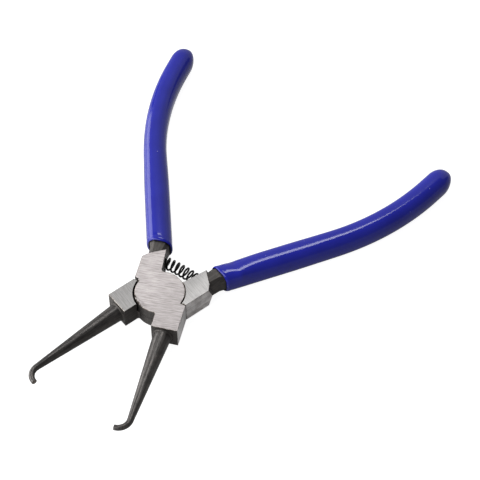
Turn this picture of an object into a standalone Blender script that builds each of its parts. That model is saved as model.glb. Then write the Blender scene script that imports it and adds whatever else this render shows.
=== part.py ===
"""Fuel line disconnect pliers, lying open as their return spring holds them.

Two like forgings cross at a round lap joint. Each has a ground head, a round tapered prong with a
hooked tip, and a handle tang in a dipped grip. The origin is on the joint's axis, at the underside
of the head. +Y runs towards the handles, and +Z is up.
"""

import math

import bmesh
import bpy
from mathutils import Vector

MM = 0.001

# Head and lap joint
HEAD_THICKNESS = 9.2 * MM
DISC_RADIUS = 9.2 * MM
LAP_GAP = 0.2 * MM
DISC_CLEARANCE = 0.45 * MM
STOP_GAP = 0.3 * MM

# The two ground flats of a half are parallel, and lean away from the tool's centre line
FLAT_ANGLE = math.radians(18.8)
FLAT_OFFSET = 10.7 * MM

# Jaw block, along the flats from the joint's axis and across them
JAW_BLOCK_LENGTH = 15.2 * MM
JAW_BLOCK_WIDTH = 9.8 * MM
JAW_ROOT_FILLET = 0.8 * MM

# Handle block, whose far end is skewed and has the draft of the forging
HANDLE_FLAT_END = 14.15 * MM
HANDLE_BLOCK_WIDTH = 7.95 * MM
HANDLE_CORNER_LENGTH = 2.0 * MM
HANDLE_CORNER_WIDTH = 2.05 * MM
HANDLE_END_SKEW = 3.05 * MM
HANDLE_END_DRAFT = 1.7 * MM
HANDLE_INNER_ANGLE = math.radians(5.1)
HANDLE_ROOT_FILLET = 1.0 * MM

# Rivet, with a countersunk head at each end
RIVET_RADIUS = 2.8 * MM
RIVET_HEAD_RADIUS = 4.2 * MM
RIVET_HEAD_DEPTH = 1.4 * MM
RIVET_CLEARANCE = 0.08 * MM

# Prong, from the end of the jaw block, with a hook towards the other prong
PRONG_ANGLE = math.radians(16.6)
PRONG_OFFSET = 5.69 * MM
PRONG_LENGTH = 36.6 * MM
PRONG_BASE_RADIUS = 3.36 * MM
PRONG_NECK_RADIUS = 1.2 * MM
PRONG_FILLET = 0.5 * MM
HOOK_RADIUS = 4.35 * MM
HOOK_ANGLE = math.radians(87.3)
HOOK_REACH = 0.5 * MM
HOOK_TIP_RADIUS = 1.03 * MM

# Handle line: straight, then a long bend towards the other handle, then straight
HANDLE_ANGLE = math.radians(36.5)
HANDLE_OFFSET = 0.74 * MM
HANDLE_STRAIGHT = 68.2 * MM
HANDLE_BEND_RADIUS = 100.9 * MM
HANDLE_BEND = math.radians(26.2)
HANDLE_LAST = 4.5 * MM

# Tang, where it leaves the handle block. Inside the grip it takes its size from the grip
TANG_START = 13.0 * MM
TANG_ROOT = 17.6 * MM
TANG_ROOT_WIDTH = 6.2 * MM
TANG_ROOT_SHIFT = 1.5 * MM
TANG_ROOT_STEP = 0.25 * MM
TANG_CHAMFER = 1.6 * MM

# Grip, with a slanted mouth that starts further out on the outer side
GRIP_START = 23.4 * MM
GRIP_MOUTH_ANGLE = math.radians(17)
GRIP_MOUTH_FADE = 14.0 * MM
GRIP_HEIGHT = 10.5 * MM
GRIP_ROUNDNESS = 2.4
GRIP_WIDTH = 9.65 * MM
GRIP_NARROWS = 50.0 * MM
GRIP_WAIST = 75.0 * MM
GRIP_WAIST_WIDTH = 8.95 * MM
GRIP_TIP_WIDTH = 9.2 * MM
GRIP_WALL = 0.95 * MM
GRIP_GAP = 0.3 * MM
GRIP_LIP = 0.5 * MM
GRIP_DOME = 7.2 * MM

# Return spring, bowed away from the joint, with a blind seat in each handle block
SPRING_Y = 14.85 * MM
SPRING_BOW_RADIUS = 76.0 * MM
SPRING_DIAMETER = 4.75 * MM
SPRING_WIRE = 0.6 * MM
SPRING_PITCH = 1.97 * MM
SPRING_CLEARANCE = 0.3 * MM
SEAT_DEPTH = 3.5 * MM

# Facets
DISC_STEPS = 72
ROUND_STEPS = 24
FILLET_STEPS = 4
SIDE_STEPS = 4
COIL_STEPS = 16
HOOK_STEPS = 8
DOME_STEPS = 5
STATION = 5.0 * MM
SHARP_ANGLE = math.radians(35)

# How far a cutter runs past the face that it cuts, and a root into the piece that carries it
PAST = 1.0 * MM


def heading(angle):
    return Vector((math.cos(angle), math.sin(angle), 0))


def blend(share, low, high):
    """From low to high as share goes from 0 to 1, level at both ends."""
    share = max(0.0, min(1.0, share))
    return low + (high - low) * share * share * (3 - 2 * share)


def bent_path(distance, start, angle, straight, radius, bend):
    """Point and angle along a line that is straight, bends clockwise, then runs straight on."""
    if distance <= straight:
        return start + heading(angle) * distance, angle
    turned_by = min((distance - straight) / radius, bend)
    right = angle - math.pi / 2
    centre = start + heading(angle) * straight + heading(right) * radius
    point = centre - heading(right - turned_by) * radius
    past_bend = distance - straight - radius * turned_by
    return point + heading(angle - turned_by) * past_bend, angle - turned_by


def handle_path(distance):
    """The handle line, with the distance counted from beside the joint's axis."""
    start = heading(HANDLE_ANGLE) * HANDLE_OFFSET
    angle = HANDLE_ANGLE + math.pi / 2
    return bent_path(distance, start, angle, HANDLE_STRAIGHT, HANDLE_BEND_RADIUS, HANDLE_BEND)


def prong_path(distance):
    """The prong's centre line, with the distance counted from the end of the jaw block."""
    angle = PRONG_ANGLE - math.pi / 2
    start = heading(PRONG_ANGLE) * PRONG_OFFSET + heading(angle) * JAW_BLOCK_LENGTH
    return bent_path(distance, start, angle, PRONG_LENGTH, HOOK_RADIUS, HOOK_ANGLE)


def handle_end():
    return HANDLE_STRAIGHT + HANDLE_BEND_RADIUS * HANDLE_BEND + HANDLE_LAST


def stations(start, end):
    """Evenly spaced distances from start to end, both included."""
    count = max(1, math.ceil((end - start) / STATION))
    return [start + (end - start) * i / count for i in range(count + 1)]


def circle(radius, steps=ROUND_STEPS):
    angles = [2 * math.pi * i / steps for i in range(steps)]
    return [(radius * math.cos(angle), radius * math.sin(angle)) for angle in angles]


def chamfered(low, high, half_height, chamfer, steps=1):
    """Chamfered rectangle as (across, up) points, from low to high across."""
    corners = (
        (high, chamfer - half_height),
        (high, half_height - chamfer),
        (high - chamfer, half_height),
        (low + chamfer, half_height),
        (low, half_height - chamfer),
        (low, chamfer - half_height),
        (low + chamfer, -half_height),
        (high - chamfer, -half_height),
    )
    points = []
    for (across, up), (next_across, next_up) in zip(corners, corners[1:] + corners[:1]):
        for i in range(steps):
            share = i / steps
            points.append((across + (next_across - across) * share, up + (next_up - up) * share))
    return points


def ring(path, distance, section, slant=0.0):
    """A section's points across a path. With a slant, those on the right lie nearer its start."""
    points = []
    for across, up in section:
        point, angle = path(distance - across * slant)
        points.append(point + heading(angle - math.pi / 2) * across + Vector((0, 0, up)))
    return points


def loft(rings):
    """Closed mesh through rings of points. A ring of one point is an apex."""
    mesh = bmesh.new()
    loops = [[mesh.verts.new(point) for point in points] for points in rings]
    for low, high in zip(loops, loops[1:]):
        count = max(len(low), len(high))
        for i in range(count):
            j = (i + 1) % count
            corners = [low[i % len(low)], low[j % len(low)], high[j % len(high)], high[i % len(high)]]
            mesh.faces.new(list(dict.fromkeys(corners)))
    for end in (loops[0], loops[-1]):
        if len(end) > 2:
            mesh.faces.new(end)
    bmesh.ops.recalc_face_normals(mesh, faces=mesh.faces)
    return mesh


def turned(profile, steps=DISC_STEPS):
    """Solid of revolution about Z through (radius, height) points."""
    return loft([[(x, y, height) for x, y in circle(radius, steps)] for radius, height in profile])


def mesh_data(name, mesh):
    data = bpy.data.meshes.new(name)
    mesh.to_mesh(data)
    mesh.free()
    return data


def add_object(name, data, parent=None):
    item = bpy.data.objects.new(name, data)
    bpy.context.scene.collection.objects.link(item)
    item.parent = parent
    return item


def combine(item, operation, mesh):
    """Joins a mesh to an object or cuts it away, and keeps the result as a plain mesh."""
    tool = add_object("tool", mesh_data("tool", mesh))
    tool.hide_render = True
    tool.display_type = "WIRE"
    step = item.modifiers.new("combine", "BOOLEAN")
    step.object = tool
    step.operation = operation
    step.solver = "EXACT"
    bpy.context.view_layer.update()
    graph = bpy.context.evaluated_depsgraph_get()
    result = bpy.data.meshes.new_from_object(item.evaluated_get(graph))
    item.modifiers.clear()
    item.data = result
    bpy.data.objects.remove(tool)


def finish(data, name, colour, roughness, metallic):
    """Gives a mesh or curve its material, and shades a mesh smooth between its sharp edges."""
    material = bpy.data.materials.new(name)
    material.use_nodes = True
    shader = material.node_tree.nodes["Principled BSDF"]
    shader.inputs["Base Color"].default_value = (*colour, 1)
    shader.inputs["Roughness"].default_value = roughness
    shader.inputs["Metallic"].default_value = metallic
    data.materials.clear()
    data.materials.append(material)
    if isinstance(data, bpy.types.Mesh):
        data.shade_smooth()
        data.set_sharp_from_angle(angle=SHARP_ANGLE)


def on_flats(along, across):
    """Plan point counted along the ground flats to the handle end, and across them to the jaw side."""
    return heading(FLAT_ANGLE + math.pi / 2) * along + heading(FLAT_ANGLE) * across


def flat_corner(y, across):
    """Plan point where a flat at this distance across reaches this Y."""
    along = (y - across * math.sin(FLAT_ANGLE)) / math.cos(FLAT_ANGLE)
    return on_flats(along, across)


def disc_arc(start, end):
    """Points round the disc's edge, clockwise from one of its points to another."""
    first = math.atan2(start.y, start.x)
    sweep = (first - math.atan2(end.y, end.x)) % (2 * math.pi)
    steps = max(2, round(DISC_STEPS * sweep / (2 * math.pi)))
    return [heading(first - sweep * i / steps) * DISC_RADIUS for i in range(steps + 1)]


def root_fillet(angle, offset, radius):
    """Arc from a block's inner face into the disc's edge.

    The face runs outwards at this angle, at this offset to the right of the joint's axis.
    """
    right = angle - math.pi / 2
    side = offset + radius
    reach = math.sqrt((DISC_RADIUS + radius) ** 2 - side**2)
    centre = heading(angle) * reach + heading(right) * side
    sweep = (math.atan2(centre.y, centre.x) - right) % (2 * math.pi)
    angles = [right + math.pi + sweep * i / FILLET_STEPS for i in range(FILLET_STEPS + 1)]
    return [centre + heading(turn) * radius for turn in angles]


def handle_face():
    """Angle of the handle block's inner face, and its offset to the right of the joint's axis."""
    angle = FLAT_ANGLE + HANDLE_INNER_ANGLE + math.pi / 2
    along = HANDLE_FLAT_END + HANDLE_CORNER_LENGTH + HANDLE_END_SKEW
    corner = on_flats(along, HANDLE_BLOCK_WIDTH - FLAT_OFFSET)
    return angle, corner, corner.dot(heading(angle - math.pi / 2))


def head_outline(draft):
    """Plan outline of a half's head, clockwise from its handle shoulder.

    draft is how far the handle block's end stands out past its edge at the top and the bottom.
    """
    stop = STOP_GAP / 2
    disc_x = math.sqrt(DISC_RADIUS**2 - stop**2)
    angle, inner_corner, offset = handle_face()
    handle_root = root_fillet(angle, offset, HANDLE_ROOT_FILLET)
    jaw_inner = FLAT_OFFSET - JAW_BLOCK_WIDTH
    jaw_root = root_fillet(FLAT_ANGLE - math.pi / 2, -jaw_inner, JAW_ROOT_FILLET)
    skewed = HANDLE_FLAT_END + HANDLE_CORNER_LENGTH + draft
    return [
        flat_corner(stop, -FLAT_OFFSET),
        on_flats(HANDLE_FLAT_END + draft, -FLAT_OFFSET),
        on_flats(skewed, HANDLE_CORNER_WIDTH - FLAT_OFFSET),
        inner_corner + heading(angle) * draft,
        *handle_root,
        *disc_arc(handle_root[-1], Vector((disc_x, -stop, 0)))[1:],
        flat_corner(-stop, FLAT_OFFSET),
        on_flats(-JAW_BLOCK_LENGTH, FLAT_OFFSET),
        on_flats(-JAW_BLOCK_LENGTH, jaw_inner),
        *jaw_root,
        *disc_arc(jaw_root[-1], Vector((-disc_x, stop, 0)))[1:],
    ]


def head_mesh():
    """Disc and both blocks at full thickness."""
    top = HEAD_THICKNESS / 2
    layers = ((-top, 0), (0, HANDLE_END_DRAFT), (top, 0))
    return loft([[p + Vector((0, 0, z)) for p in head_outline(draft)] for z, draft in layers])


def prong_mesh():
    """Tapered round prong from inside the jaw block, with a fillet at its root and a hook."""
    rings = [(-2 * PAST, PRONG_BASE_RADIUS)]
    for i in range(FILLET_STEPS + 1):
        angle = math.pi / 2 * i / FILLET_STEPS
        flare = PRONG_FILLET * (1 - math.sin(angle))
        rings.append((PRONG_FILLET * (1 - math.cos(angle)), PRONG_BASE_RADIUS + flare))
    rings[1] = (-PAST, rings[1][1])
    rings.append((PRONG_LENGTH, PRONG_NECK_RADIUS))
    bend = HOOK_RADIUS * HOOK_ANGLE
    for i in range(1, HOOK_STEPS + 1):
        share = i / HOOK_STEPS
        radius = PRONG_NECK_RADIUS + (HOOK_TIP_RADIUS - PRONG_NECK_RADIUS) * share
        rings.append((PRONG_LENGTH + bend * share, radius))
    rings.append((PRONG_LENGTH + bend + HOOK_REACH, HOOK_TIP_RADIUS))
    return loft([ring(prong_path, distance, circle(radius)) for distance, radius in rings])


def grip_half_width(distance):
    if distance < GRIP_WAIST:
        share = (distance - GRIP_NARROWS) / (GRIP_WAIST - GRIP_NARROWS)
        return blend(share, GRIP_WIDTH, GRIP_WAIST_WIDTH) / 2
    share = (distance - GRIP_WAIST) / (handle_end() - GRIP_WAIST)
    return blend(share, GRIP_WAIST_WIDTH, GRIP_TIP_WIDTH) / 2


def mouth_slant(distance):
    """Slant of the grip's sections, which fades out behind its mouth."""
    return blend((distance - GRIP_START) / GRIP_MOUTH_FADE, math.tan(GRIP_MOUTH_ANGLE), 0)


def inner_section(distance, inset, steps=1):
    """Chamfered section at this depth below the grip's skin."""
    half_width = grip_half_width(distance) - inset
    return chamfered(-half_width, half_width, GRIP_HEIGHT / 2 - inset, TANG_CHAMFER, steps)


def grip_section(distance, inset=0.0, scale=1.0):
    """Superellipse of the grip's skin, drawn in by an inset, or shrunk for its domed end.

    Each point is in line with one of the hollow's.
    """
    half_width = (grip_half_width(distance) - inset) * scale
    half_height = (GRIP_HEIGHT / 2 - inset) * scale
    points = []
    for across, up in inner_section(distance, GRIP_WALL, SIDE_STEPS):
        power = abs(across / half_width) ** GRIP_ROUNDNESS + abs(up / half_height) ** GRIP_ROUNDNESS
        size = power ** (1 / GRIP_ROUNDNESS)
        points.append((across / size, up / size))
    return points


def tang_end():
    return handle_end() - GRIP_WALL


def tang_mesh():
    """Chamfered tang from inside the handle block to near the grip's end."""
    half_width = TANG_ROOT_WIDTH / 2
    half_height = HEAD_THICKNESS / 2 - TANG_ROOT_STEP
    shift = -TANG_ROOT_SHIFT
    root = chamfered(shift - half_width, shift + half_width, half_height, TANG_CHAMFER)
    start = [(shift + (across - shift) * 0.7, up * 0.8) for across, up in root]
    rings = [ring(handle_path, TANG_START, start), ring(handle_path, TANG_ROOT, root)]
    mouth = GRIP_START - GRIP_WIDTH / 2 * math.tan(GRIP_MOUTH_ANGLE)
    for distance in stations(mouth, tang_end()):
        section = inner_section(distance, GRIP_WALL + GRIP_GAP)
        rings.append(ring(handle_path, distance, section))
    return loft(rings)


def spring_line(distance):
    """The spring's bowed centre line, with the distance counted from its middle towards +X."""
    centre = Vector((0, SPRING_Y - SPRING_BOW_RADIUS, 0))
    turn = distance / SPRING_BOW_RADIUS
    return centre + heading(math.pi / 2 - turn) * SPRING_BOW_RADIUS, -turn


def spring_reach():
    """Distance along the spring's line from its middle to a handle block's inner face."""
    angle, _, offset = handle_face()
    right = angle - math.pi / 2
    centre = Vector((0, SPRING_Y - SPRING_BOW_RADIUS, 0))
    share = (offset - centre.dot(heading(right))) / SPRING_BOW_RADIUS
    return SPRING_BOW_RADIUS * (right - math.asin(share))


def seat_line(distance):
    """The left seat's straight axis, tangent to the spring's line at the block's inner face."""
    mouth, angle = spring_line(-spring_reach())
    return mouth + heading(angle) * distance, angle


def half_mesh():
    """One forging in the pose of the upper half, with the joint's centre at its origin."""
    half = add_object("half", mesh_data("half", head_mesh()))
    top = HEAD_THICKNESS / 2
    lap = DISC_RADIUS + DISC_CLEARANCE
    combine(half, "DIFFERENCE", turned([(lap, -top - PAST), (lap, LAP_GAP / 2)]))
    combine(half, "UNION", tang_mesh())
    combine(half, "UNION", prong_mesh())

    bore = RIVET_RADIUS + RIVET_CLEARANCE
    sink = RIVET_HEAD_RADIUS + RIVET_CLEARANCE
    flare = (sink - bore) / RIVET_HEAD_DEPTH * PAST
    profile = ((bore, -top - PAST), (bore, top - RIVET_HEAD_DEPTH), (sink + flare, top + PAST))
    combine(half, "DIFFERENCE", turned(profile))

    seat = circle(SPRING_DIAMETER / 2 + SPRING_CLEARANCE)
    ends = (-SEAT_DEPTH, SPRING_DIAMETER)
    combine(half, "DIFFERENCE", loft([ring(seat_line, distance, seat) for distance in ends]))
    data = half.data
    bpy.data.objects.remove(half)
    return data


def grip_mesh():
    """Dipped grip as one skin: down the hollow for the tang, round the lip, and out to a domed end."""
    sections = []
    for distance in reversed(stations(GRIP_START, tang_end() + GRIP_GAP)):
        sections.append((distance, inner_section(distance, GRIP_WALL, SIDE_STEPS)))
    for i in range(FILLET_STEPS + 1):
        angle = math.pi / 2 * i / FILLET_STEPS
        distance = GRIP_START + GRIP_LIP * (1 - math.cos(angle))
        sections.append((distance, grip_section(distance, GRIP_LIP * (1 - math.sin(angle)))))
    for distance in stations(GRIP_START + GRIP_LIP, handle_end())[1:]:
        sections.append((distance, grip_section(distance)))
    for i in range(1, DOME_STEPS):
        angle = math.pi / 2 * i / DOME_STEPS
        section = grip_section(handle_end(), scale=math.cos(angle))
        sections.append((handle_end() + GRIP_DOME * math.sin(angle), section))
    rings = [ring(handle_path, *section, mouth_slant(section[0])) for section in sections]
    rings.append([handle_path(handle_end() + GRIP_DOME)[0]])
    return loft(rings)


def rivet_mesh():
    top = HEAD_THICKNESS / 2
    shank = top - RIVET_HEAD_DEPTH
    ends = (-top, -shank, shank, top)
    radii = (RIVET_HEAD_RADIUS, RIVET_RADIUS, RIVET_RADIUS, RIVET_HEAD_RADIUS)
    return turned(list(zip(radii, ends)))


def spring_curve():
    """Coil with a closed turn at each end, between the bottoms of its two seats."""
    reach = spring_reach() + SEAT_DEPTH - SPRING_CLEARANCE - SPRING_WIRE / 2
    closed = 1.15 * SPRING_WIRE
    open_turns = round(2 * (reach - closed) / SPRING_PITCH)
    pitch = 2 * (reach - closed) / open_turns
    radius = (SPRING_DIAMETER - SPRING_WIRE) / 2
    curve = bpy.data.curves.new("return_spring", "CURVE")
    curve.dimensions = "3D"
    curve.bevel_depth = SPRING_WIRE / 2
    curve.bevel_resolution = 2
    curve.use_fill_caps = True
    spline = curve.splines.new("POLY")
    spline.points.add((open_turns + 2) * COIL_STEPS)
    for i, point in enumerate(spline.points):
        turns = i / COIL_STEPS
        in_ends = min(turns, 1) + max(turns - open_turns - 1, 0)
        distance = in_ends * closed + (turns - in_ends) * pitch - reach
        angle = 2 * math.pi * turns
        section = [(radius * math.cos(angle), -radius * math.sin(angle))]
        point.co = (*ring(spring_line, distance, section)[0], 1)
    return curve


def build():
    for item in list(bpy.data.objects):
        bpy.data.objects.remove(item)

    forging = half_mesh()
    finish(forging, "ground_forging", (0.36, 0.35, 0.34), 0.38, 1.0)
    sleeve = mesh_data("grip", grip_mesh())
    finish(sleeve, "blue_dip", (0.035, 0.03, 0.32), 0.18, 0.0)
    rivet = mesh_data("rivet", rivet_mesh())
    finish(rivet, "rivet_steel", (0.42, 0.41, 0.4), 0.35, 1.0)
    coil = spring_curve()
    finish(coil, "black_wire", (0.015, 0.015, 0.016), 0.4, 1.0)

    joint = Vector((0, 0, HEAD_THICKNESS / 2))
    for side, turn in (("upper", 0), ("lower", math.pi)):
        half = add_object(side + "_half", forging)
        half.location = joint
        half.rotation_euler = (0, turn, 0)
        add_object(side + "_grip", sleeve, half)
    add_object("pivot_rivet", rivet, bpy.data.objects["lower_half"])
    spring = add_object("return_spring", coil)
    spring.location = joint


build()
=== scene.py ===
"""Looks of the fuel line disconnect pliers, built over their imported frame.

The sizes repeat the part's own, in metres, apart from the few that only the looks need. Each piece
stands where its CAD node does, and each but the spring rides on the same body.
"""

import math

import bmesh
import bpy
from mathutils import Matrix, Vector, noise


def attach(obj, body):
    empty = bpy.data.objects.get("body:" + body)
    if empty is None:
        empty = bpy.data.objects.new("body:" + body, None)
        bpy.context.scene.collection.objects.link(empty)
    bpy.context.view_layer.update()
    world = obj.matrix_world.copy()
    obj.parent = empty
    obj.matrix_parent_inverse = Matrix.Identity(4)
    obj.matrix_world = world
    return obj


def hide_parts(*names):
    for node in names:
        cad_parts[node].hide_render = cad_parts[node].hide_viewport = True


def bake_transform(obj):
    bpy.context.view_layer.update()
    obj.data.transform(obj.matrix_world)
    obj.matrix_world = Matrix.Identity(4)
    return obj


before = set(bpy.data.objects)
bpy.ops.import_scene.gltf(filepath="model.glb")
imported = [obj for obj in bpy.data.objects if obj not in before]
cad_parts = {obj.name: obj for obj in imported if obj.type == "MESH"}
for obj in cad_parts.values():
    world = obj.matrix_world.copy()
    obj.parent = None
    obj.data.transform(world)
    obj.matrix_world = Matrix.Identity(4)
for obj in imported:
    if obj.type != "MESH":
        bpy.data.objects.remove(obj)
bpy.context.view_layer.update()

MM = 0.001

# Head and lap joint
HEAD_THICKNESS = 9.2 * MM
DISC_RADIUS = 9.2 * MM
LAP_GAP = 0.2 * MM
DISC_CLEARANCE = 0.45 * MM
STOP_GAP = 0.3 * MM
FLAT_ANGLE = math.radians(18.8)
FLAT_OFFSET = 10.7 * MM
JAW_BLOCK_LENGTH = 15.2 * MM
JAW_BLOCK_WIDTH = 9.8 * MM
JAW_ROOT_FILLET = 0.8 * MM
HANDLE_FLAT_END = 14.15 * MM
HANDLE_BLOCK_WIDTH = 7.95 * MM
HANDLE_CORNER_LENGTH = 2.0 * MM
HANDLE_CORNER_WIDTH = 2.05 * MM
HANDLE_END_SKEW = 3.05 * MM
HANDLE_END_DRAFT = 1.7 * MM
HANDLE_INNER_ANGLE = math.radians(5.1)
HANDLE_ROOT_FILLET = 1.0 * MM

# Looks of the head: broken edges, the torn part of one, and the notch in the upper half's shoulder
EDGE = 0.11 * MM
LAP_SHIFT = 0.25 * MM
TEAR_DIRECTION_DEGREES = -112
TEAR_REACH_DEGREES = 20
COARSE_TEAR_SCALE = 700
FINE_TEAR_SCALE = 2400
NOTCH_LENGTH = 1.6 * MM
NOTCH_WIDTH = 0.7 * MM
NOTCH_DEPTH = 2.5 * MM

# Rivet
RIVET_RADIUS = 2.8 * MM
RIVET_HEAD_RADIUS = 4.2 * MM
RIVET_HEAD_DEPTH = 1.4 * MM
RIVET_CLEARANCE = 0.08 * MM
RIVET_SEAM = 0.012 * MM

# Prong
PRONG_ANGLE = math.radians(16.6)
PRONG_OFFSET = 5.69 * MM
PRONG_LENGTH = 36.6 * MM
PRONG_BASE_RADIUS = 3.36 * MM
PRONG_NECK_RADIUS = 1.2 * MM
PRONG_FILLET = 0.5 * MM
HOOK_RADIUS = 4.35 * MM
HOOK_ANGLE = math.radians(87.3)
HOOK_REACH = 0.5 * MM
HOOK_TIP_RADIUS = 1.03 * MM
TIP_EDGE = 0.12 * MM

# Handle line and tang
HANDLE_ANGLE = math.radians(36.5)
HANDLE_OFFSET = 0.74 * MM
HANDLE_STRAIGHT = 68.2 * MM
HANDLE_BEND_RADIUS = 100.9 * MM
HANDLE_BEND = math.radians(26.2)
HANDLE_LAST = 4.5 * MM
TANG_START = 13.0 * MM
TANG_ROOT = 17.6 * MM
TANG_ROOT_WIDTH = 6.2 * MM
TANG_ROOT_SHIFT = 1.5 * MM
TANG_ROOT_STEP = 0.25 * MM
TANG_CHAMFER = 1.6 * MM
TANG_START_WIDTH_SHARE = 0.7
TANG_START_HEIGHT_SHARE = 0.8

# Grip
GRIP_START = 23.4 * MM
GRIP_MOUTH_ANGLE = math.radians(17)
GRIP_MOUTH_FADE = 14.0 * MM
GRIP_HEIGHT = 10.5 * MM
GRIP_ROUNDNESS = 2.4
GRIP_WIDTH = 9.65 * MM
GRIP_NARROWS = 50.0 * MM
GRIP_WAIST = 75.0 * MM
GRIP_WAIST_WIDTH = 8.95 * MM
GRIP_TIP_WIDTH = 9.2 * MM
GRIP_WALL = 0.95 * MM
GRIP_GAP = 0.3 * MM
GRIP_LIP = 0.5 * MM
GRIP_LIP_LENGTH = 1.1 * MM
GRIP_DOME = 7.2 * MM
MOUTH_GROOVE = 0.05 * MM
MOUTH_GROOVE_PLACE = 2 * MM
MOUTH_GROOVE_REACH = 0.7 * MM
CROWN_NEAR = 0.2 * MM
CROWN_FAR = -0.05 * MM
CROWN_CHANGE_START = 58 * MM
CROWN_CHANGE_LENGTH = 14 * MM
BROAD_RIPPLE = 0.85 * MM
BROAD_RIPPLE_PLACE = 30 * MM
BROAD_RIPPLE_REACH = 6 * MM
SHARP_RIPPLE = 0.5 * MM
SHARP_RIPPLE_PLACE = 29.8 * MM
SHARP_RIPPLE_REACH = 1.6 * MM

# Spring
SPRING_Y = 14.85 * MM
SPRING_BOW_RADIUS = 76.0 * MM
SPRING_DIAMETER = 4.75 * MM
SPRING_WIRE = 0.6 * MM
SPRING_WIRE_SEEN = 0.73 * MM
SPRING_BEND_PAST = 2.0 * MM
SPRING_PITCH = 1.97 * MM
SPRING_CLOSED_PITCH = 1.15 * SPRING_WIRE
SPRING_CLEARANCE = 0.3 * MM
SPRING_LEAN = 0.04
SPRING_TILT = 0.26
SPRING_LEVEL_FROM = 0.5 * MM
SPRING_LEVEL_AT = 1 * MM
SEAT_DEPTH = 3.5 * MM

# Facets round each form, and steps along it
DISC_STEP_DEGREES = 1.5
SHOULDER_STEPS = 240
FILLET_STEPS = 10
PRONG_STEPS = 64
PRONG_FILLET_STEPS = 8
HOOK_STEPS = 24
RIVET_STEPS = 120
SEAT_STEPS = 48
TANG_STEPS = 4
GRIP_STEPS = 24
LIP_STEPS = 8
DOME_STEPS = 20
COIL_POINTS = 361
WIRE_STEPS = 14
PRONG_STATION = 1.5 * MM
TANG_STATION = 2.5 * MM
HOLLOW_STATION = 4 * MM
GRIP_STATION = 0.5 * MM

# Angles above which an edge shows as sharp
FORGING_SHARP_DEGREES = 14
RIVET_SHARP_DEGREES = 30
ROUND_SHARP_DEGREES = 50

# Places of a half's materials, in the order of its finishes, and of a grip's second one
GROUND_FACE, GROUND_FLAT, OXIDE, PRONG_OXIDE, BROKEN_EDGE, CUT_TIP = range(6)
# A grip's second finish, painted dark as shade on its hollow and cut rim
SHADED_DIP_INSIDE = 1

# Distances that tell which form a face or a point belongs to
ON_SURFACE = 0.02 * MM
ON_DISC = 0.05 * MM
BY_TIP = 0.2 * MM
HEAD_PAST_ROOT = 2 * MM
# How far the prong's root fillet keeps the block's rougher oxide, as painted shade in the crease
PRONG_ROOT_SHADE_REACH = 0.6 * MM

# How far a cutter, or an end to be joined, reaches past what it meets
PAST = 1.0 * MM
JOINT = Vector((0, 0, HEAD_THICKNESS / 2))
GRIP_UNDERSIDE = HEAD_THICKNESS / 2 - GRIP_HEIGHT / 2
FLOOR_GAP = 0.02 * MM


# Node trees, for materials and for the spring


class Field:
    """A socket that Python's operators work on: each adds a Math node to the socket's tree."""

    def __init__(self, tree, socket):
        self.tree = tree
        self.socket = socket

    def math(self, operation, *values):
        return self.tree.add("ShaderNodeMath", {"operation": operation}, values)

    def __add__(self, other):
        return self.math("ADD", self, other)

    __radd__ = __add__

    def __sub__(self, other):
        return self.math("SUBTRACT", self, other)

    def __rsub__(self, other):
        return self.math("SUBTRACT", other, self)

    def __mul__(self, other):
        return self.math("MULTIPLY", self, other)

    __rmul__ = __mul__

    def __truediv__(self, other):
        return self.math("DIVIDE", self, other)

    def sine(self):
        return self.math("SINE", self)

    def cosine(self):
        return self.math("COSINE", self)

    def least(self, other):
        return self.math("MINIMUM", self, other)

    def most(self, other):
        return self.math("MAXIMUM", self, other)

    def between(self, low, high):
        """0 below low and 1 above high, with a smooth step from one to the other."""
        settings = {"interpolation_type": "SMOOTHSTEP"}
        return self.tree.add("ShaderNodeMapRange", settings, [self, low, high])


class Tree:
    """A node tree, with one way of adding nodes to it."""

    def __init__(self, tree):
        self.nodes = tree.nodes
        self.links = tree.links

    def add(self, kind, settings=None, values=(), output=0):
        """Adds a node, with its settings first and then the values or links of its sockets."""
        node = self.nodes.new(kind)
        for name, value in (settings or {}).items():
            setattr(node, name, value)
        pairs = values.items() if isinstance(values, dict) else enumerate(values)
        for key, value in pairs:
            self.feed(node.inputs[key], value)
        return Field(self, node.outputs[output])

    def feed(self, socket, value):
        if isinstance(value, Field):
            self.links.new(value.socket, socket)
        else:
            socket.default_value = value


class Finish(Tree):
    """A material with one Principled shader, whose patterns lie on Object coordinates."""

    def __init__(self, name, **constants):
        self.material = bpy.data.materials.new(name)
        self.material.use_nodes = True
        super().__init__(self.material.node_tree)
        self.shader = self.nodes["Principled BSDF"]
        self.place = self.add("ShaderNodeTexCoord", output="Object")
        self.set(**constants)

    def set(self, **values):
        for name, value in values.items():
            self.feed(self.shader.inputs[name.replace("_", " ")], value)

    def grain(self, size, angle=0.0, detail=3.0):
        """Noise from 0 to 1 in spots of this size, or of three sizes, the first along an angle in plan."""
        sizes = size if isinstance(size, tuple) else (size,) * 3
        values = {"Vector": self.place, "Rotation": (0, 0, angle), "Scale": sizes}
        spots = self.add("ShaderNodeMapping", {"vector_type": "TEXTURE"}, values)
        return self.add("ShaderNodeTexNoise", None, {"Vector": spots, "Scale": 1.0, "Detail": detail})

    def over(self, share, under, top):
        """A colour laid over another one where the share is 1."""
        values = {0: share, 6: under, 7: (*top, 1)}
        return self.add("ShaderNodeMix", {"data_type": "RGBA"}, values, output=2)

    def colour(self, share, low, high):
        """A colour from low to high as the share goes from 0 to 1."""
        return self.over(share, (*low, 1), high)

    def dimmed(self, level, colour):
        """A colour times a level, which may be above 1."""
        return self.add("ShaderNodeVectorMath", {"operation": "SCALE"}, {"Vector": colour, "Scale": level})

    def raised(self, height, depth):
        """Bumps as deep as this, in metres, from a height of 0 to 1."""
        values = {"Height": height, "Distance": depth, "Strength": 1.0}
        self.set(Normal=self.add("ShaderNodeBump", None, values))


# Finishes


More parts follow.
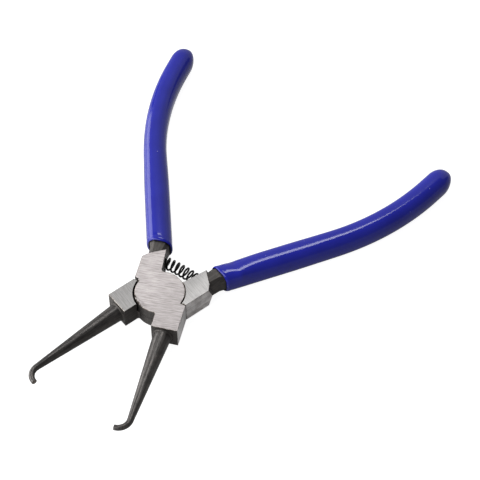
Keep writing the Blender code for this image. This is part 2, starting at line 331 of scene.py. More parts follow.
def ground_steel(name, angle, tones, roughness, painted_shade_span=(1, 2), painted_shade_level=1.0, blotch=0.3):
    """Steel from a grinding wheel, with its scratches along an angle in plan.

    The level of its tone, a painted shade, goes from 1 to the painted shade level between the two X places
    of the painted shade span. Those it has by default lie past the tool, so the level stays at 1.
    """
    dark, light = tones
    finish = Finish(name, Metallic=1.0)
    fine = finish.grain((2.6 * MM, 0.15 * MM, 0.15 * MM), angle)
    broad = finish.grain((6 * MM, 0.42 * MM, 0.42 * MM), angle, detail=2)
    cloud = finish.grain(3 * MM, detail=3)
    scratch = finish.grain((3.5 * MM, 0.1 * MM, 0.1 * MM), angle, detail=1).between(0.64, 0.76)
    share = fine * 0.7 + broad * 0.9 + cloud * blotch - (blotch / 2 + 0.3)
    tone = finish.colour(share.between(0.0, 1.0), dark, light)
    scratched = finish.over(scratch * 0.35, tone, [min(1, c * 1.15) for c in light])
    x = finish.add("ShaderNodeSeparateXYZ", None, [finish.place])
    # Painted shade: the tone darkens along X, where less light falls on the face
    level = 1 - x.between(*painted_shade_span) * (1 - painted_shade_level)
    finish.set(Base_Color=finish.dimmed(level, scratched))
    finish.set(Roughness=fine * 0.14 + broad * 0.08 + (roughness - 0.11))
    finish.raised(fine * 0.5 + broad * 0.5 - scratch * 0.3, 0.008 * MM)
    return finish.material


def black_oxide(name, angle, tones, roughness, depth):
    """Steel under black oxide, faintly streaked along an angle in plan and worn to brown."""
    dark, light = tones
    finish = Finish(name, Metallic=0.9)
    mottle = finish.grain(1.6 * MM, detail=4)
    streak = finish.grain((14 * MM, 0.5 * MM, 0.5 * MM), angle, detail=3)
    speck = finish.grain(0.22 * MM, detail=3)
    worn = finish.grain((3 * MM, 0.7 * MM, 0.7 * MM), angle, detail=4).between(0.58, 0.76)
    share = streak * 0.7 + mottle * 0.3
    tone = finish.colour(share.between(0.34, 0.66), dark, light)
    brown = (light[0] * 1.7, light[1] * 1.5, light[2] * 1.38)
    finish.set(Base_Color=finish.over(worn * 0.4, tone, brown))
    finish.set(Roughness=mottle * 0.08 + speck * 0.08 + streak * 0.1 + (roughness - 0.13))
    finish.raised(speck * 0.5 + streak * 0.5, depth)
    return finish.material


def broken_edge(name):
    """Ground steel's edges, dulled and worn to brown."""
    finish = Finish(name, Metallic=1.0)
    worn = finish.grain(0.8 * MM, detail=4)
    tone = finish.colour(worn.between(0.4, 0.6), (0.13, 0.105, 0.09), (0.42, 0.39, 0.36))
    finish.set(Base_Color=tone, Roughness=worn * 0.2 + 0.3)
    return finish.material


def cut_steel(name):
    """Cut and slightly rusted steel at the ends of the hooked tips."""
    finish = Finish(name, Metallic=0.8)
    blotch = finish.grain(0.35 * MM, detail=4)
    lines = finish.grain((2 * MM, 0.1 * MM, 0.1 * MM), math.radians(60), detail=2)
    tone = finish.colour(blotch.between(0.35, 0.65), (0.12, 0.09, 0.07), (0.3, 0.26, 0.22))
    finish.set(Base_Color=tone, Roughness=lines * 0.2 + 0.3)
    finish.raised(lines, 0.01 * MM)
    return finish.material


def blue_dip(name):
    """Glossy dipped vinyl with a faintly wavy skin and a few specks of dust."""
    speck_spacing = 2.6 * MM
    finish = Finish(name, IOR=1.5)
    cloud = finish.grain(9 * MM, detail=2)
    orange_peel = finish.grain(1.1 * MM, detail=2)
    wave = finish.grain(4.5 * MM, detail=1)
    tone = finish.colour(cloud.between(0.3, 0.7), (0.013, 0.018, 0.355), (0.016, 0.022, 0.390))
    cells = finish.add("ShaderNodeTexVoronoi", None, {"Vector": finish.place, "Scale": 1 / speck_spacing})
    chosen = finish.grain(speck_spacing, detail=0).between(0.625, 0.645)
    dust = (1 - cells.between(0.05, 0.09)) * chosen
    finish.set(Base_Color=finish.over(dust * 0.6, tone, (0.35, 0.36, 0.62)))
    finish.set(Roughness=orange_peel * 0.006 + cloud * 0.02 + dust * 0.3 + 0.105)
    finish.raised(wave * 0.95 + orange_peel * 0.05 - dust * 0.5, 0.008 * MM)
    return finish.material


def shaded_dip_inside(name):
    """The dip's cut rim and its inside, dull and painted dark as shade."""
    finish = Finish(name, IOR=1.5)
    mottle = finish.grain(0.6 * MM)
    tone = finish.colour(mottle, (0.004, 0.004, 0.08), (0.007, 0.008, 0.13))
    finish.set(Base_Color=tone, Roughness=mottle * 0.2 + 0.4)
    return finish.material


def black_wire(name):
    """Black oxide wire, drawn lengthwise."""
    finish = Finish(name, Metallic=0.9)
    mottle = finish.grain(0.5 * MM, detail=3)
    rubbed = finish.grain(0.25 * MM, detail=3).between(0.6, 0.75)
    tone = finish.colour(mottle, (0.012, 0.012, 0.013), (0.035, 0.034, 0.033))
    finish.set(Base_Color=finish.over(rubbed * 0.4, tone, (0.09, 0.085, 0.08)))
    finish.set(Roughness=mottle * 0.2 + 0.22)
    finish.raised(mottle, 0.01 * MM)
    return finish.material


# Lines and sections, as in the part


def heading(angle):
    """Unit vector in plan, at an angle from X."""
    return Vector((math.cos(angle), math.sin(angle), 0))


def ease(share, low, high):
    """From low to high as share goes from 0 to 1, level at both ends."""
    share = max(0.0, min(1.0, share))
    return low + (high - low) * share * share * (3 - 2 * share)


def hump(distance, middle, reach):
    """1 at the middle, and nearly 0 from about twice this reach on."""
    return math.exp(-(((distance - middle) / reach) ** 2))


def bent_path(distance, start, angle, straight, radius, bend):
    """Point and angle along a line that is straight, bends clockwise, then runs straight on."""
    if distance <= straight:
        return start + heading(angle) * distance, angle
    turned_by = min((distance - straight) / radius, bend)
    right = angle - math.pi / 2
    centre = start + heading(angle) * straight + heading(right) * radius
    point = centre - heading(right - turned_by) * radius
    past_bend = distance - straight - radius * turned_by
    return point + heading(angle - turned_by) * past_bend, angle - turned_by


def handle_path(distance):
    """Point and angle along the handle's line, from beside the joint."""
    start = heading(HANDLE_ANGLE) * HANDLE_OFFSET
    angle = HANDLE_ANGLE + math.pi / 2
    return bent_path(distance, start, angle, HANDLE_STRAIGHT, HANDLE_BEND_RADIUS, HANDLE_BEND)


def prong_path(distance):
    """Point and angle along the prong's line, from its root to the hooked tip."""
    angle = PRONG_ANGLE - math.pi / 2
    start = heading(PRONG_ANGLE) * PRONG_OFFSET + heading(angle) * JAW_BLOCK_LENGTH
    return bent_path(distance, start, angle, PRONG_LENGTH, HOOK_RADIUS, HOOK_ANGLE)


def handle_end():
    """Distance along the handle's line to where the grip's dome starts."""
    return HANDLE_STRAIGHT + HANDLE_BEND_RADIUS * HANDLE_BEND + HANDLE_LAST


def stations(start, end, step):
    """Distances from start to end, evenly spaced and no more than a step apart."""
    count = max(1, math.ceil((end - start) / step))
    return [start + (end - start) * i / count for i in range(count + 1)]


def circle(radius, steps):
    """Points round a circle, as (across, up)."""
    angles = [2 * math.pi * i / steps for i in range(steps)]
    return [(radius * math.cos(angle), radius * math.sin(angle)) for angle in angles]


def chamfered(low, high, half_height, chamfer, steps=1):
    """Chamfered rectangle as (across, up) points, from low to high across."""
    corners = (
        (high, chamfer - half_height),
        (high, half_height - chamfer),
        (high - chamfer, half_height),
        (low + chamfer, half_height),
        (low, half_height - chamfer),
        (low, chamfer - half_height),
        (low + chamfer, -half_height),
        (high - chamfer, -half_height),
    )
    points = []
    for (across, up), (next_across, next_up) in zip(corners, corners[1:] + corners[:1]):
        for i in range(steps):
            share = i / steps
            points.append((across + (next_across - across) * share, up + (next_up - up) * share))
    return points


def ring(path, distance, section, slant=0.0):
    """A section's (across, up) points, set square to a path or slanting along it."""
    points = []
    for across, up in section:
        point, angle = path(distance - across * slant)
        points.append(point + heading(angle - math.pi / 2) * across + Vector((0, 0, up)))
    return points


def loft(rings):
    """Closed mesh through rings of points. A ring of one point is an apex."""
    mesh = bmesh.new()
    loops = [[mesh.verts.new(point) for point in points] for points in rings]
    for low, high in zip(loops, loops[1:]):
        count = max(len(low), len(high))
        for i in range(count):
            j = (i + 1) % count
            corners = [low[i % len(low)], low[j % len(low)], high[j % len(high)], high[i % len(high)]]
            mesh.faces.new(list(dict.fromkeys(corners)))
    for end in (loops[0], loops[-1]):
        if len(end) > 2:
            mesh.faces.new(end)
    bmesh.ops.recalc_face_normals(mesh, faces=mesh.faces)
    return mesh


def turned(profile, steps):
    """Solid of revolution about Z through (radius, height) points."""
    return loft([[(x, y, height) for x, y in circle(radius, steps)] for radius, height in profile])


def new_piece(name, data):
    item = bpy.data.objects.new(name, data)
    bpy.context.scene.collection.objects.link(item)
    return item


def mesh_data(name, mesh):
    """Mesh data from a bmesh, which is used up."""
    data = bpy.data.meshes.new(name)
    mesh.to_mesh(data)
    mesh.free()
    return data


def combine(item, operation, mesh):
    """Joins a mesh to a piece or cuts it away, and keeps the result as a plain mesh."""
    tool = new_piece("tool", mesh_data("tool", mesh))
    step = item.modifiers.new("combine", "BOOLEAN")
    step.object = tool
    step.operation = operation
    step.solver = "EXACT"
    bpy.context.view_layer.update()
    graph = bpy.context.evaluated_depsgraph_get()
    result = bpy.data.meshes.new_from_object(item.evaluated_get(graph))
    item.modifiers.clear()
    item.data = result
    bpy.data.objects.remove(tool)


def smooth(data, sharp_degrees):
    data.shade_smooth()
    data.set_sharp_from_angle(angle=math.radians(sharp_degrees))


def dress(data, finishes):
    for material in finishes:
        data.materials.append(material)


# Forgings


def on_flats(along, across):
    """Point in plan by its distances along and across the head's ground flats."""
    return heading(FLAT_ANGLE + math.pi / 2) * along + heading(FLAT_ANGLE) * across


def flat_corner(y, across):
    """Point in plan with this Y, at a distance across the flats."""
    along = (y - across * math.sin(FLAT_ANGLE)) / math.cos(FLAT_ANGLE)
    return on_flats(along, across)


def disc_arc(start, end):
    """Points round the disc's edge, clockwise."""
    first = math.atan2(start.y, start.x)
    sweep = (first - math.atan2(end.y, end.x)) % (2 * math.pi)
    steps = round(math.degrees(sweep) / DISC_STEP_DEGREES)
    return [heading(first - sweep * i / steps) * DISC_RADIUS for i in range(steps + 1)]


def root_fillet(angle, offset, radius):
    """Arc from a block's inner face into the disc's edge."""
    right = angle - math.pi / 2
    side = offset + radius
    reach = math.sqrt((DISC_RADIUS + radius) ** 2 - side**2)
    centre = heading(angle) * reach + heading(right) * side
    sweep = (math.atan2(centre.y, centre.x) - right) % (2 * math.pi)
    angles = [right + math.pi + sweep * i / FILLET_STEPS for i in range(FILLET_STEPS + 1)]
    return [centre + heading(turn) * radius for turn in angles]


def handle_face():
    """Angle, far corner and offset of a handle block's inner face."""
    angle = FLAT_ANGLE + HANDLE_INNER_ANGLE + math.pi / 2
    along = HANDLE_FLAT_END + HANDLE_CORNER_LENGTH + HANDLE_END_SKEW
    corner = on_flats(along, HANDLE_BLOCK_WIDTH - FLAT_OFFSET)
    return angle, corner, corner.dot(heading(angle - math.pi / 2))


def head_outline(draft):
    """Plan outline of a half's head, clockwise from its handle shoulder."""
    stop = STOP_GAP / 2
    disc_x = math.sqrt(DISC_RADIUS**2 - stop**2)
    angle, inner_corner, offset = handle_face()
    handle_root = root_fillet(angle, offset, HANDLE_ROOT_FILLET)
    jaw_inner = FLAT_OFFSET - JAW_BLOCK_WIDTH
    jaw_root = root_fillet(FLAT_ANGLE - math.pi / 2, -jaw_inner, JAW_ROOT_FILLET)
    skewed = HANDLE_FLAT_END + HANDLE_CORNER_LENGTH + draft
    return [
        flat_corner(stop, -FLAT_OFFSET),
        on_flats(HANDLE_FLAT_END + draft, -FLAT_OFFSET),
        on_flats(skewed, HANDLE_CORNER_WIDTH - FLAT_OFFSET),
        inner_corner + heading(angle) * draft,
        *handle_root,
        *disc_arc(handle_root[-1], Vector((disc_x, -stop, 0)))[1:],
        flat_corner(-stop, FLAT_OFFSET),
        on_flats(-JAW_BLOCK_LENGTH, FLAT_OFFSET),
        on_flats(-JAW_BLOCK_LENGTH, jaw_inner),
        *jaw_root,
        *disc_arc(jaw_root[-1], Vector((-disc_x, stop, 0)))[1:],
    ]


def drawn_in(outline, depth):
    """A clockwise outline moved inwards by a depth, or by a depth for each point."""
    points = []
    for i, point in enumerate(outline):
        before = (point - outline[i - 1]).normalized()
        after = (outline[(i + 1) % len(outline)] - point).normalized()
        low = Vector((before.y, -before.x, 0))
        high = Vector((after.y, -after.x, 0))
        inset = depth(point) if callable(depth) else depth
        points.append(point + (low + high) / (1 + low.dot(high)) * inset)
    return points


def ragged_edge(point):
    """Depth of the edge's break, uneven round the disc and torn on its side by the left jaw."""
    if abs(point.length - DISC_RADIUS) > ON_DISC:
        return EDGE
    direction = math.degrees(math.atan2(point.y, point.x))
    torn = hump(direction, TEAR_DIRECTION_DEGREES, TEAR_REACH_DEGREES)
    coarse = abs(noise.noise(point * COARSE_TEAR_SCALE))
    fine = abs(noise.noise(point * FINE_TEAR_SCALE))
    return EDGE * (0.9 + (2.2 + 6 * torn) * coarse + (1.2 + 5 * torn) * fine)


def head_mesh():
    """Disc and both blocks at full thickness, with their ground faces' edges broken."""
    top = HEAD_THICKNESS / 2
    level = head_outline(0)
    side = head_outline(HANDLE_END_DRAFT * EDGE / top)
    rings = [(-top, drawn_in(level, EDGE)), (EDGE - top, side), (0, head_outline(HANDLE_END_DRAFT))]
    rings += [(top - EDGE, side), (top, drawn_in(level, ragged_edge))]
    return loft([[p + Vector((0, 0, z)) for p in points] for z, points in rings])


def prong_mesh():
    """Tapered round prong with a fillet at its root, a hook and a cut end."""
    rings = [(-2 * PAST, PRONG_BASE_RADIUS), (-PAST, PRONG_BASE_RADIUS + PRONG_FILLET)]
    for i in range(1, PRONG_FILLET_STEPS + 1):
        angle = math.pi / 2 * i / PRONG_FILLET_STEPS
        flare = PRONG_FILLET * (1 - math.sin(angle))
        rings.append((PRONG_FILLET * (1 - math.cos(angle)), PRONG_BASE_RADIUS + flare))
    for distance in stations(PRONG_FILLET, PRONG_LENGTH, PRONG_STATION)[1:]:
        share = (distance - PRONG_FILLET) / (PRONG_LENGTH - PRONG_FILLET)
        rings.append((distance, PRONG_BASE_RADIUS + (PRONG_NECK_RADIUS - PRONG_BASE_RADIUS) * share))
    bend = HOOK_RADIUS * HOOK_ANGLE
    for i in range(1, HOOK_STEPS + 1):
        share = i / HOOK_STEPS
        radius = PRONG_NECK_RADIUS + (HOOK_TIP_RADIUS - PRONG_NECK_RADIUS) * share
        rings.append((PRONG_LENGTH + bend * share, radius))
    end = PRONG_LENGTH + bend + HOOK_REACH
    rings.append((end - TIP_EDGE, HOOK_TIP_RADIUS))
    rings.append((end, HOOK_TIP_RADIUS - TIP_EDGE))
    return loft([ring(prong_path, distance, circle(radius, PRONG_STEPS)) for distance, radius in rings])


def grip_half_width(distance):
    """Half of the grip's width, which narrows to a waist before its end."""
    if distance < GRIP_WAIST:
        share = (distance - GRIP_NARROWS) / (GRIP_WAIST - GRIP_NARROWS)
        return ease(share, GRIP_WIDTH, GRIP_WAIST_WIDTH) / 2
    share = (distance - GRIP_WAIST) / (handle_end() - GRIP_WAIST)
    return ease(share, GRIP_WAIST_WIDTH, GRIP_TIP_WIDTH) / 2


def inner_section(distance, inset, steps=1):
    """Chamfered rectangle that lies this far inside the grip's widest lines."""
    half_width = grip_half_width(distance) - inset
    return chamfered(-half_width, half_width, GRIP_HEIGHT / 2 - inset, TANG_CHAMFER, steps)


def tang_mesh():
    """Chamfered tang from inside the handle block into the grip's hollow, and on to its end."""
    half_width = TANG_ROOT_WIDTH / 2
    half_height = HEAD_THICKNESS / 2 - TANG_ROOT_STEP
    shift = -TANG_ROOT_SHIFT
    root = chamfered(shift - half_width, shift + half_width, half_height, TANG_CHAMFER, TANG_STEPS)
    start = [
        (shift + (across - shift) * TANG_START_WIDTH_SHARE, up * TANG_START_HEIGHT_SHARE)
        for across, up in root
    ]
    rings = [ring(handle_path, TANG_START, start), ring(handle_path, TANG_ROOT, root)]
    mouth = GRIP_START - GRIP_WIDTH / 2 * math.tan(GRIP_MOUTH_ANGLE)
    for distance in stations(mouth, handle_end() - GRIP_WALL, TANG_STATION):
        section = inner_section(distance, GRIP_WALL + GRIP_GAP, TANG_STEPS)
        rings.append(ring(handle_path, distance, section))
    return loft(rings)


def spring_line(distance):
    """Point and angle on the spring's bowed line, at a distance from its middle."""
    centre = Vector((0, SPRING_Y - SPRING_BOW_RADIUS, 0))
    turn = distance / SPRING_BOW_RADIUS
    return centre + heading(math.pi / 2 - turn) * SPRING_BOW_RADIUS, -turn


def spring_reach():
    """Distance along the spring's line from its middle to a handle block's inner face."""
    angle, _, offset = handle_face()
    right = angle - math.pi / 2
    centre = Vector((0, SPRING_Y - SPRING_BOW_RADIUS, 0))
    share = (offset - centre.dot(heading(right))) / SPRING_BOW_RADIUS
    return SPRING_BOW_RADIUS * (right - math.asin(share))


def seat_line(distance):
    """Point and angle on the straight line of the upper half's seat, from its mouth."""
    mouth, angle = spring_line(-spring_reach())
    return mouth + heading(angle) * distance, angle


def half_mesh():
    """One forging in the pose of the upper half, with the joint's centre at its origin."""
    half = new_piece("half", mesh_data("half", head_mesh()))
    top = HEAD_THICKNESS / 2
    lap = DISC_RADIUS + DISC_CLEARANCE
    flared = lap + EDGE + PAST
    profile = ((flared, -top - PAST), (lap + EDGE, -top), (lap, EDGE - top), (lap, LAP_GAP / 2))
    cutter = turned(profile, SHOULDER_STEPS)
    bmesh.ops.translate(cutter, vec=heading(FLAT_ANGLE - math.pi / 2) * LAP_SHIFT, verts=cutter.verts)
    combine(half, "DIFFERENCE", cutter)
    combine(half, "UNION", tang_mesh())
    combine(half, "UNION", prong_mesh())

    bore = RIVET_RADIUS + RIVET_CLEARANCE
    sink = RIVET_HEAD_RADIUS + RIVET_CLEARANCE
    flare = (sink - bore) / RIVET_HEAD_DEPTH * PAST
    profile = ((bore, -top - PAST), (bore, top - RIVET_HEAD_DEPTH), (sink + flare, top + PAST))
    combine(half, "DIFFERENCE", turned(profile, RIVET_STEPS))

    seat = circle(SPRING_DIAMETER / 2 + SPRING_CLEARANCE, SEAT_STEPS)
    ends = (-SEAT_DEPTH, SPRING_DIAMETER)
    combine(half, "DIFFERENCE", loft([ring(seat_line, distance, seat) for distance in ends]))
    data = half.data
    bpy.data.objects.remove(half)
    return data


def notched(data):
    """The half with the notch that the photograph shows in the upper one's shoulder."""
    half = new_piece("half", data.copy())
    corner = flat_corner(STOP_GAP / 2, -FLAT_OFFSET) + Vector((0, 0, HEAD_THICKNESS / 2))
    size = Matrix.Diagonal((2 * NOTCH_LENGTH, 2 * NOTCH_WIDTH, 2 * NOTCH_DEPTH, 1))
    cut = bmesh.new()
    bmesh.ops.create_cube(cut, matrix=Matrix.Translation(corner) @ size)
    combine(half, "DIFFERENCE", cut)
    data = half.data
    bpy.data.objects.remove(half)
    return data


def surface_of(face):
    """Place of the material that a face of the half takes, before the half is turned over."""
    middle = face.center
    depth = HEAD_THICKNESS / 2 - abs(middle.z)
    on_head = middle.dot(heading(HANDLE_ANGLE + math.pi / 2)) < TANG_ROOT + HEAD_PAST_ROOT
    level = abs(face.normal.z)
    if on_head and depth < ON_SURFACE and level > 0.99:
        return GROUND_FACE
    if on_head and depth < 1.2 * EDGE and 0.3 < level < 0.99:
        return BROKEN_EDGE
    across = heading(FLAT_ANGLE)
    by_flat = abs(middle.dot(across)) > FLAT_OFFSET - 1.1 * EDGE
    if by_flat and abs(face.normal.dot(across)) > 0.6:
        return GROUND_FLAT
    end, _ = prong_path(PRONG_LENGTH + HOOK_RADIUS * HOOK_ANGLE + HOOK_REACH)
    if (middle - end).length < BY_TIP:
        return CUT_TIP
    # The root fillet keeps the block's rougher oxide, darker than the upper prong's, as painted shade in
    # the crease
    if middle.dot(heading(FLAT_ANGLE - math.pi / 2)) > JAW_BLOCK_LENGTH + PRONG_ROOT_SHADE_REACH:
        return PRONG_OXIDE
    return OXIDE


def forging(name, body, data, turn, finishes):
    """One half: the forging turned over or not, at the joint's height."""
    smooth(data, FORGING_SHARP_DEGREES)
    surfaces = [surface_of(face) for face in data.polygons]
    data.transform(Matrix.Translation(JOINT) @ Matrix.Rotation(turn, 4, "Y"))
    data.materials.clear()
    dress(data, finishes)
    data.polygons.foreach_set("material_index", surfaces)
    half = new_piece(name, data)
    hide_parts(name)
    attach(half, body)


# Grips


def upper_crown(distance):
    """The upper grip's crown lies on its middle line."""
    return 0.0


def lower_crown(distance):
    """How far the lower grip's crown lies to its outer side, most of all in a ripple by its mouth."""
    broad = BROAD_RIPPLE * hump(distance, BROAD_RIPPLE_PLACE, BROAD_RIPPLE_REACH)
    sharp = SHARP_RIPPLE * hump(distance, SHARP_RIPPLE_PLACE, SHARP_RIPPLE_REACH)
    change = (distance - CROWN_CHANGE_START) / CROWN_CHANGE_LENGTH
    return ease(change, CROWN_NEAR, CROWN_FAR) + broad + sharp


def mouth_slant(distance):
    """How far a section leans along the handle's line for each distance across it."""
    return ease((distance - GRIP_START) / GRIP_MOUTH_FADE, math.tan(GRIP_MOUTH_ANGLE), 0)


def grip_section(crown, side, distance, inset=0.0, scale=1.0):
    """Superellipse of the grip's skin, in line with the corners of its hollow.

    Its crown is shifted only on the side that is up in the tool.
    """
    half_width = (grip_half_width(distance) - inset) * scale
    half_height = (GRIP_HEIGHT / 2 - inset) * scale
    points = []
    for across, up in inner_section(distance, GRIP_WALL, GRIP_STEPS):
        power = abs(across / half_width) ** GRIP_ROUNDNESS + abs(up / half_height) ** GRIP_ROUNDNESS
        size = power ** (1 / GRIP_ROUNDNESS)
        lift = max(0.0, side * up / size / half_height) ** 2
        points.append((across / size - crown(distance) * lift * scale, up / size))
    return points


def grip_mesh(crown, side):
    """Dipped grip as one skin: down the hollow, round the lip, and out to a domed end."""
    sections = []
    for distance in reversed(stations(GRIP_START, handle_end() - GRIP_WALL + GRIP_GAP, HOLLOW_STATION)):
        sections.append((distance, inner_section(distance, GRIP_WALL, GRIP_STEPS)))
    inner_faces = len(sections) * len(sections[0][1])
    for i in range(LIP_STEPS + 1):
        angle = math.pi / 2 * i / LIP_STEPS
        distance = GRIP_START + GRIP_LIP_LENGTH * (1 - math.cos(angle))
        inset = GRIP_LIP * (1 - math.sin(angle))
        sections.append((distance, grip_section(crown, side, distance, inset)))
    for distance in stations(GRIP_START + GRIP_LIP_LENGTH, handle_end(), GRIP_STATION)[1:]:
        groove = MOUTH_GROOVE * hump(distance, GRIP_START + MOUTH_GROOVE_PLACE, MOUTH_GROOVE_REACH)
        sections.append((distance, grip_section(crown, side, distance, groove)))
    for i in range(1, DOME_STEPS):
        angle = math.pi / 2 * i / DOME_STEPS
        section = grip_section(crown, side, handle_end(), scale=math.cos(angle))
        sections.append((handle_end() + GRIP_DOME * math.sin(angle), section))
    rings = [ring(handle_path, *section, mouth_slant(section[0])) for section in sections]
    rings.append([handle_path(handle_end() + GRIP_DOME)[0]])
    mesh = loft(rings)
    mesh.faces.ensure_lookup_table()
    # The hollow and the cut rim take the dark finish, as painted shade
    for face in mesh.faces[:inner_faces]:
        face.material_index = SHADED_DIP_INSIDE
    return mesh


def grip(name, body, turn, crown, finishes):
    """One dipped grip, turned over or not with its half."""
    data = mesh_data(name, grip_mesh(crown, math.cos(turn)))
    data.transform(Matrix.Translation(JOINT) @ Matrix.Rotation(turn, 4, "Y"))
    dress(data, finishes)
    smooth(data, ROUND_SHARP_DEGREES)
    sleeve = new_piece(name, data)
    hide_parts(name)
    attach(sleeve, body)


# Rivet and spring


def rivet(finishes):
    """Rivet with both ends ground flush, a hair smaller than its countersinks."""
    top = HEAD_THICKNESS / 2
    shank = top - RIVET_HEAD_DEPTH
    fit = RIVET_CLEARANCE - RIVET_SEAM
    radii = (RIVET_HEAD_RADIUS + fit, RIVET_RADIUS + fit, RIVET_RADIUS + fit, RIVET_HEAD_RADIUS + fit)
    data = mesh_data("rivet", turned(list(zip(radii, (-top, -shank, shank, top))), RIVET_STEPS))
    data.transform(Matrix.Translation(JOINT))
    dress(data, finishes)
    for face in data.polygons:
        face.material_index = 0 if face.normal.z > 0.9 else 1
    smooth(data, RIVET_SHARP_DEGREES)
    piece = new_piece("pivot_rivet", data)
    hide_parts("pivot_rivet")
    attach(piece, "lower")


COIL_INPUTS = (
    "Reach", "Closed Pitch", "Coil Radius", "Wire Radius", "Bow Radius", "Middle Y",
    "Lean", "Tilt", "Straight Reach", "Height", "Open Turns",
)


def coil_tree():
    """Geometry Nodes that wind a coil with closed ends on a bowed, slightly leaning line."""
    group = bpy.data.node_groups.new("return_spring_coil", "GeometryNodeTree")
    sockets = {}
    group.interface.new_socket("Geometry", in_out="OUTPUT", socket_type="NodeSocketGeometry")
    kinds = dict.fromkeys(COIL_INPUTS, "NodeSocketFloat") | {"Finish": "NodeSocketMaterial"}
    for name, kind in kinds.items():
        sockets[name] = group.interface.new_socket(name, in_out="INPUT", socket_type=kind).identifier

    tree = Tree(group)
    source = tree.nodes.new("NodeGroupInput")
    size = {name: Field(tree, source.outputs[name]) for name in sockets}
    turns = size["Open Turns"] + 2
    line = tree.add("GeometryNodeCurvePrimitiveLine", None, {"Start": (0, 0, 0), "End": (1, 0, 0)})
    points = tree.add("GeometryNodeResampleCurve", None, {"Curve": line, "Count": COIL_POINTS})
    along = tree.add("GeometryNodeSplineParameter") * turns
    in_ends = along.least(1) + (along - turns + 1).most(0)
    pitch = (size["Reach"] - size["Closed Pitch"]) * 2 / size["Open Turns"]
    distance = in_ends * size["Closed Pitch"] + (along - in_ends) * pitch - size["Reach"]
    across = (along * (2 * math.pi)).cosine()
    up = (along * (2 * math.pi)).sine()
    share = distance.between(0 - size["Straight Reach"], size["Straight Reach"])
    level_from = size["Straight Reach"] - SPRING_LEVEL_FROM
    in_seat = distance.between(level_from, size["Straight Reach"] + SPRING_LEVEL_AT)
    tilted = across * size["Coil Radius"] * size["Tilt"] * share * (1 - in_seat)
    turn = (distance - tilted) / size["Bow Radius"]
    radius = size["Bow Radius"] - across * size["Coil Radius"]
    lean = size["Lean"] * distance.least(size["Straight Reach"]).most(0 - size["Straight Reach"])
    x = radius * turn.sine()
    y = radius * turn.cosine() + size["Middle Y"] - size["Bow Radius"] - lean
    z = size["Height"] - up * size["Coil Radius"]
    place = tree.add("ShaderNodeCombineXYZ", None, [x, y, z])
    coil = tree.add("GeometryNodeSetPosition", None, {"Geometry": points, "Position": place})
    wire_round = {"Resolution": WIRE_STEPS, "Radius": size["Wire Radius"]}
    profile = tree.add("GeometryNodeCurvePrimitiveCircle", None, wire_round)
    swept = {"Curve": coil, "Profile Curve": profile, "Fill Caps": True}
    wire = tree.add("GeometryNodeCurveToMesh", None, swept)
    real = tree.add("GeometryNodeRealizeInstances", None, {"Geometry": wire})
    done = tree.add("GeometryNodeSetMaterial", None, {"Geometry": real, "Material": size["Finish"]})
    sink = tree.nodes.new("NodeGroupOutput")
    tree.feed(sink.inputs[0], done)
    return group, sockets


def spring(material):
    """The coil from its tree, as a plain mesh."""
    group, sockets = coil_tree()
    reach = spring_reach() + SEAT_DEPTH - SPRING_CLEARANCE - SPRING_WIRE / 2
    sizes = {
        "Reach": reach,
        "Closed Pitch": SPRING_CLOSED_PITCH,
        "Coil Radius": (SPRING_DIAMETER - SPRING_WIRE) / 2,
        "Wire Radius": SPRING_WIRE_SEEN / 2,
        "Bow Radius": SPRING_BOW_RADIUS,
        "Middle Y": SPRING_Y,
        "Lean": SPRING_LEAN,
        "Tilt": SPRING_TILT,
        "Straight Reach": spring_reach(),
        "Height": JOINT.z,
        "Open Turns": float(round(2 * (reach - SPRING_CLOSED_PITCH) / SPRING_PITCH)),
        "Finish": material,
    }
    holder = new_piece("coil", bpy.data.meshes.new("coil"))
    winding = holder.modifiers.new("winding", "NODES")
    winding.node_group = group
    for name, value in sizes.items():
        winding[sockets[name]] = value
    bpy.context.view_layer.update()
    graph = bpy.context.evaluated_depsgraph_get()
    data = bpy.data.meshes.new_from_object(holder.evaluated_get(graph))
    bpy.data.objects.remove(holder)
    smooth(data, ROUND_SHARP_DEGREES)
    piece = new_piece("return_spring", data)
    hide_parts("return_spring")
    bend = reach + SPRING_BEND_PAST
    left, right = [spring_line(end)[0] + JOINT for end in (-bend, bend)]
    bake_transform(piece)


# Floor, light and camera


def floor():
    """White floor that takes a faint shadow, and shows dimmer in gloss than to the camera."""
    mesh = bmesh.new()
    bmesh.ops.create_circle(mesh, cap_ends=True, segments=64, radius=12)
    data = mesh_data("floor", mesh)
    data.transform(Matrix.Translation((0, 0, GRIP_UNDERSIDE - FLOOR_GAP)))
    material = bpy.data.materials.new("white_floor")
    material.use_nodes = True
    tree = Tree(material.node_tree)
    tree.nodes.clear()
    sight = tree.nodes.new("ShaderNodeLightPath")
    kinds = ("Camera", "Glossy", "Transmission")
    camera_ray, glossy_ray, clear_ray = [Field(tree, sight.outputs[f"Is {kind} Ray"]) for kind in kinds]
    white = 0.38 - glossy_ray * 0.26
    paint = tree.add("ShaderNodeBsdfDiffuse", None, {"Color": white})
    strength = (camera_ray + clear_ray) * 0.93 + glossy_ray * 0.35
    glow = tree.add("ShaderNodeEmission", None, {"Color": (1, 1, 1, 1), "Strength": strength})
    glowing = tree.add("ShaderNodeAddShader", None, [paint, glow])
    satin = tree.add("ShaderNodeBsdfAnisotropic", None, {"Color": (0.9, 0.9, 0.9, 1), "Roughness": 0.42})
    mixed = tree.add("ShaderNodeMixShader", None, [glossy_ray * 0.55, glowing, satin])
    sink = tree.nodes.new("ShaderNodeOutputMaterial")
    tree.feed(sink.inputs["Surface"], mixed)
    data.materials.append(material)
    new_piece("floor", data)


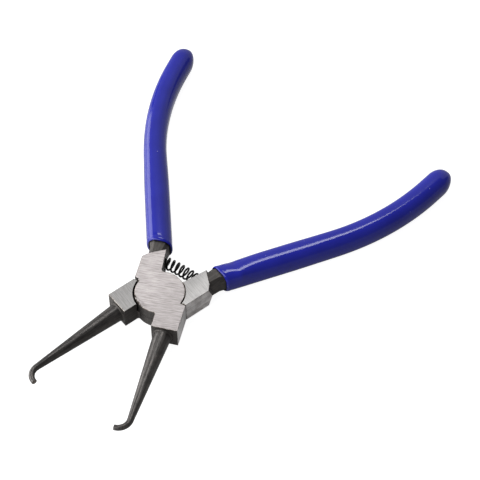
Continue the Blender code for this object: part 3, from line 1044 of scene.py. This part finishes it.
def softbox(name, azimuth, elevation, width, height, radiance):
    """Panel light that faces the object, seen in gloss at this level."""
    aim = Vector((0.015, 0.04, 0.005))
    far = 1.6
    lamp = bpy.data.lights.new(name, "AREA")
    lamp.shape = "RECTANGLE"
    lamp.size = width
    lamp.size_y = height
    lamp.energy = radiance * math.pi * width * height
    box = new_piece(name, lamp)
    up = math.radians(elevation)
    out = heading(math.radians(azimuth)) * math.cos(up) + Vector((0, 0, math.sin(up)))
    box.location = aim + out * far
    box.rotation_euler = out.to_track_quat("Z", "Y").to_euler()
    box.visible_camera = False


def lights():
    """White studio at a plain level, with four panels."""
    world = bpy.data.worlds.new("studio")
    bpy.context.scene.world = world
    world.use_nodes = True
    fill = world.node_tree.nodes["Background"]
    fill.inputs["Color"].default_value = (1, 1, 1, 1)
    fill.inputs["Strength"].default_value = 0.15
    softbox("left_window", azimuth=207, elevation=18.5, width=2.9, height=1.07, radiance=3.0)
    softbox("front_fill", azimuth=244, elevation=44, width=1.6, height=1.0, radiance=2.4)
    softbox("back_wall", azimuth=110, elevation=30, width=3.3, height=1.7, radiance=0.4)
    softbox("strip", azimuth=118, elevation=63, width=0.56, height=0.38, radiance=6.8)


def camera():
    """The photograph's camera, as the object's own proportions give it."""
    view = bpy.data.cameras.new("camera")
    view.lens = 126.51255
    view.sensor_width = 36
    view.clip_start = 0.01
    view.clip_end = 50
    item = new_piece("camera", view)
    item.location = (0.2169738, -0.2850036, 0.5066841)
    forward = Vector((-0.3275567, 0.5118299, -0.7941894))
    item.rotation_euler = forward.to_track_quat("-Z", "Y").to_euler()
    bpy.context.scene.camera = item


def build():
    bpy.context.scene.view_settings.view_transform = "Standard"
    face_angle = math.radians(22)
    flat_angle = FLAT_ANGLE + math.pi / 2
    prong_angle = PRONG_ANGLE + math.pi / 2
    pink = ((0.198, 0.179, 0.177), (0.526, 0.493, 0.488))
    grey = ((0.216, 0.210, 0.207), (0.400, 0.393, 0.387))
    dull = ((0.58, 0.565, 0.56), (0.96, 0.94, 0.93))
    worn = ((0.53, 0.50, 0.49), (0.98, 0.955, 0.945))
    forged = ((0.080, 0.075, 0.071), (0.130, 0.121, 0.115))
    drawn = ((0.085, 0.081, 0.078), (0.165, 0.155, 0.149))
    dark_drawn = ((0.070, 0.067, 0.065), (0.140, 0.132, 0.127))
    edge = broken_edge("broken_edge")
    tip = cut_steel("cut_tip")
    # Both ground faces darken along X as painted shade
    upper_finishes = (
        ground_steel("upper_ground_face", face_angle, pink, 0.34, painted_shade_span=(-12 * MM, 14 * MM), painted_shade_level=0.70),
        ground_steel("upper_ground_flat", flat_angle, dull, 0.5, blotch=1.2),
        black_oxide("upper_black_oxide", prong_angle, forged, 0.55, 0.012 * MM),
        black_oxide("upper_prong_oxide", prong_angle, drawn, 0.42, 0.005 * MM),
        edge,
        tip,
    )
    lower_finishes = (
        ground_steel("lower_ground_face", -face_angle, grey, 0.34, painted_shade_span=(14 * MM, 5 * MM), painted_shade_level=0.75),
        ground_steel("lower_ground_flat", -flat_angle, worn, 0.5, blotch=1.6),
        black_oxide("lower_black_oxide", -prong_angle, forged, 0.55, 0.012 * MM),
        black_oxide("lower_prong_oxide", -prong_angle, dark_drawn, 0.36, 0.005 * MM),
        edge,
        tip,
    )
    dips = (blue_dip("blue_dip"), shaded_dip_inside("shaded_dip_inside"))

    half = half_mesh()
    forging("upper_half", "upper", notched(half), 0, upper_finishes)
    forging("lower_half", "lower", half, math.pi, lower_finishes)
    grip("upper_grip", "upper", 0, upper_crown, dips)
    grip("lower_grip", "lower", math.pi, lower_crown, dips)
    rivet((upper_finishes[GROUND_FACE], lower_finishes[GROUND_FACE]))
    spring(black_wire("black_wire"))
    floor()
    lights()
    camera()


build()
